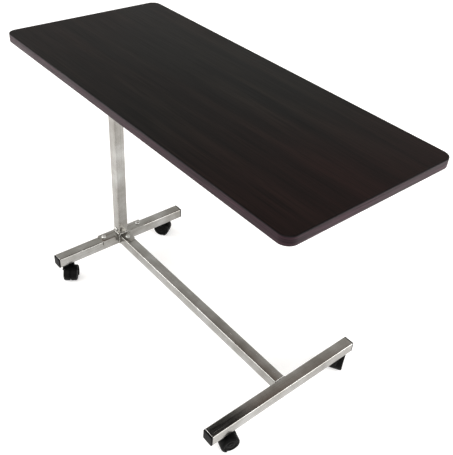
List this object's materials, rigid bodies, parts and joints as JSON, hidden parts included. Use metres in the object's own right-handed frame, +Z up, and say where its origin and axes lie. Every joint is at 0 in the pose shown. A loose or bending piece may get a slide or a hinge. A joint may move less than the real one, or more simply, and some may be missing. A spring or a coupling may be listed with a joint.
{
  "type": "overbed table",
  "caption": "Overbed table with a dark woodgrain top on a telescoping square mast, over an H-shaped steel base with swivel casters.",
  "frame": {"origin": "on the floor, under the middle of the top", "axes": "+X from the mast towards the free end of the top, +Z up"},
  "size_m": [0.9, 0.432, 0.656],
  "materials": {
    "dark_laminate": "satin woodgrain laminate on particle board",
    "edge_band": "satin woodgrain edge band",
    "chromed_steel": "bright, with fine lengthwise brushing under the plating",
    "black_painted_steel": "satin powder coat",
    "zinc_plated_steel": "zinc plated",
    "black_plastic": "satin moulded",
    "wheel_plastic": "satin moulded nylon"
  },
  "bodies": {
    "base": {"outer_mast": "chromed_steel", "rear_tube": "chromed_steel", "front_tube": "chromed_steel", "centre_tube": "chromed_steel", "foot_plate": "chromed_steel", "gas_spring_cylinder": "black_painted_steel", "spring_anchor_bolt": "zinc_plated_steel", "spring_anchor_nut": "zinc_plated_steel", "foot_bolt_left": "zinc_plated_steel", "foot_bolt_right": "zinc_plated_steel", "foot_bolt_tongue": "zinc_plated_steel", "foot_nut_left": "zinc_plated_steel", "foot_nut_right": "zinc_plated_steel", "foot_nut_tongue": "zinc_plated_steel", "caster_stem_rear_right": "zinc_plated_steel", "caster_stem_rear_left": "zinc_plated_steel", "caster_stem_front_right": "zinc_plated_steel", "caster_stem_front_left": "zinc_plated_steel", "mast_collar": "black_plastic", "end_cap_rear_left": "black_plastic", "end_cap_rear_right": "black_plastic", "end_cap_front_left": "black_plastic", "end_cap_front_right": "black_plastic"},
    "carriage": {"tabletop_board": "dark_laminate", "edge_band": "edge_band", "support_channel": "black_painted_steel", "cross_bar_mast": "black_painted_steel", "cross_bar_end": "black_painted_steel", "bar_screw_mast_left": "zinc_plated_steel", "bar_screw_mast_right": "zinc_plated_steel", "bar_screw_end_left": "zinc_plated_steel", "bar_screw_end_right": "zinc_plated_steel", "head_plate": "black_painted_steel", "inner_mast": "chromed_steel", "inner_mast_bush": "black_plastic", "gas_spring_rod": "chromed_steel", "rod_nut": "zinc_plated_steel", "lever_pivot_pin": "zinc_plated_steel"},
    "lever": {"release_lever": "black_painted_steel", "lever_grip": "black_plastic"},
    "release": {"release_pin": "zinc_plated_steel"},
    "swivel_rear_right": {"caster_hood_rear_right": "black_plastic", "caster_axle_rear_right": "zinc_plated_steel"},
    "wheel_rear_right_left": {"caster_wheel_rear_right_left": "wheel_plastic"},
    "wheel_rear_right_right": {"caster_wheel_rear_right_right": "wheel_plastic"},
    "swivel_rear_left": {"caster_hood_rear_left": "black_plastic", "caster_axle_rear_left": "zinc_plated_steel"},
    "wheel_rear_left_left": {"caster_wheel_rear_left_left": "wheel_plastic"},
    "wheel_rear_left_right": {"caster_wheel_rear_left_right": "wheel_plastic"},
    "swivel_front_right": {"caster_hood_front_right": "black_plastic", "caster_axle_front_right": "zinc_plated_steel"},
    "wheel_front_right_left": {"caster_wheel_front_right_left": "wheel_plastic"},
    "wheel_front_right_right": {"caster_wheel_front_right_right": "wheel_plastic"},
    "swivel_front_left": {"caster_hood_front_left": "black_plastic", "caster_axle_front_left": "zinc_plated_steel"},
    "wheel_front_left_left": {"caster_wheel_front_left_left": "wheel_plastic"},
    "wheel_front_left_right": {"caster_wheel_front_left_right": "wheel_plastic"}
  },
  "joints": [
    {"name": "mast_lift", "type": "slide", "parent": "base", "child": "carriage", "axis": [0, 0, 1], "range_m": [0, 0.3]},
    {"name": "lever_hinge", "type": "hinge", "parent": "carriage", "child": "lever", "pos_m": [-0.355, 0, 0.6245], "axis": [0, 1, 0], "range_deg": [0, 7], "stiffness_Nm_per_rad": 4, "springref_deg": -8.59},
    {"name": "release_travel", "type": "slide", "parent": "carriage", "child": "release", "axis": [0, 0, -1], "range_m": [0, 0.0025]},
    {"name": "swivel_rear_right_turn", "type": "hinge", "parent": "base", "child": "swivel_rear_right", "pos_m": [-0.335, -0.16, 0.052], "axis": [0, 0, 1], "continuous": true},
    {"name": "wheel_rear_right_left_roll", "type": "hinge", "parent": "swivel_rear_right", "child": "wheel_rear_right_left", "pos_m": [-0.32206, -0.16941, 0.021], "axis": [0.5878, 0.809, 0], "continuous": true},
    {"name": "wheel_rear_right_right_roll", "type": "hinge", "parent": "swivel_rear_right", "child": "wheel_rear_right_right", "pos_m": [-0.32206, -0.16941, 0.021], "axis": [0.5878, 0.809, 0], "continuous": true},
    {"name": "swivel_rear_left_turn", "type": "hinge", "parent": "base", "child": "swivel_rear_left", "pos_m": [-0.335, 0.16, 0.052], "axis": [0, 0, 1], "continuous": true},
    {"name": "wheel_rear_left_left_roll", "type": "hinge", "parent": "swivel_rear_left", "child": "wheel_rear_left_left", "pos_m": [-0.34811, 0.15082, 0.021], "axis": [0.5736, -0.8192, 0], "continuous": true},
    {"name": "wheel_rear_left_right_roll", "type": "hinge", "parent": "swivel_rear_left", "child": "wheel_rear_left_right", "pos_m": [-0.34811, 0.15082, 0.021], "axis": [0.5736, -0.8192, 0], "continuous": true},
    {"name": "swivel_front_right_turn", "type": "hinge", "parent": "base", "child": "swivel_front_right", "pos_m": [0.33, -0.176, 0.052], "axis": [0, 0, 1], "continuous": true},
    {"name": "wheel_front_right_left_roll", "type": "hinge", "parent": "swivel_front_right", "child": "wheel_front_right_left", "pos_m": [0.33494, -0.16078, 0.021], "axis": [-0.9511, 0.309, 0], "continuous": true},
    {"name": "wheel_front_right_right_roll", "type": "hinge", "parent": "swivel_front_right", "child": "wheel_front_right_right", "pos_m": [0.33494, -0.16078, 0.021], "axis": [-0.9511, 0.309, 0], "continuous": true},
    {"name": "swivel_front_left_turn", "type": "hinge", "parent": "base", "child": "swivel_front_left", "pos_m": [0.33, 0.176, 0.052], "axis": [0, 0, 1], "continuous": true},
    {"name": "wheel_front_left_left_roll", "type": "hinge", "parent": "swivel_front_left", "child": "wheel_front_left_left", "pos_m": [0.32249, 0.19013, 0.021], "axis": [-0.8829, -0.4695, 0], "continuous": true},
    {"name": "wheel_front_left_right_roll", "type": "hinge", "parent": "swivel_front_left", "child": "wheel_front_left_right", "pos_m": [0.32249, 0.19013, 0.021], "axis": [-0.8829, -0.4695, 0], "continuous": true}
  ],
  "couplings": [
    {"joint": "release_travel", "follows": "lever_hinge", "m_per_rad": 0.02}
  ]
}
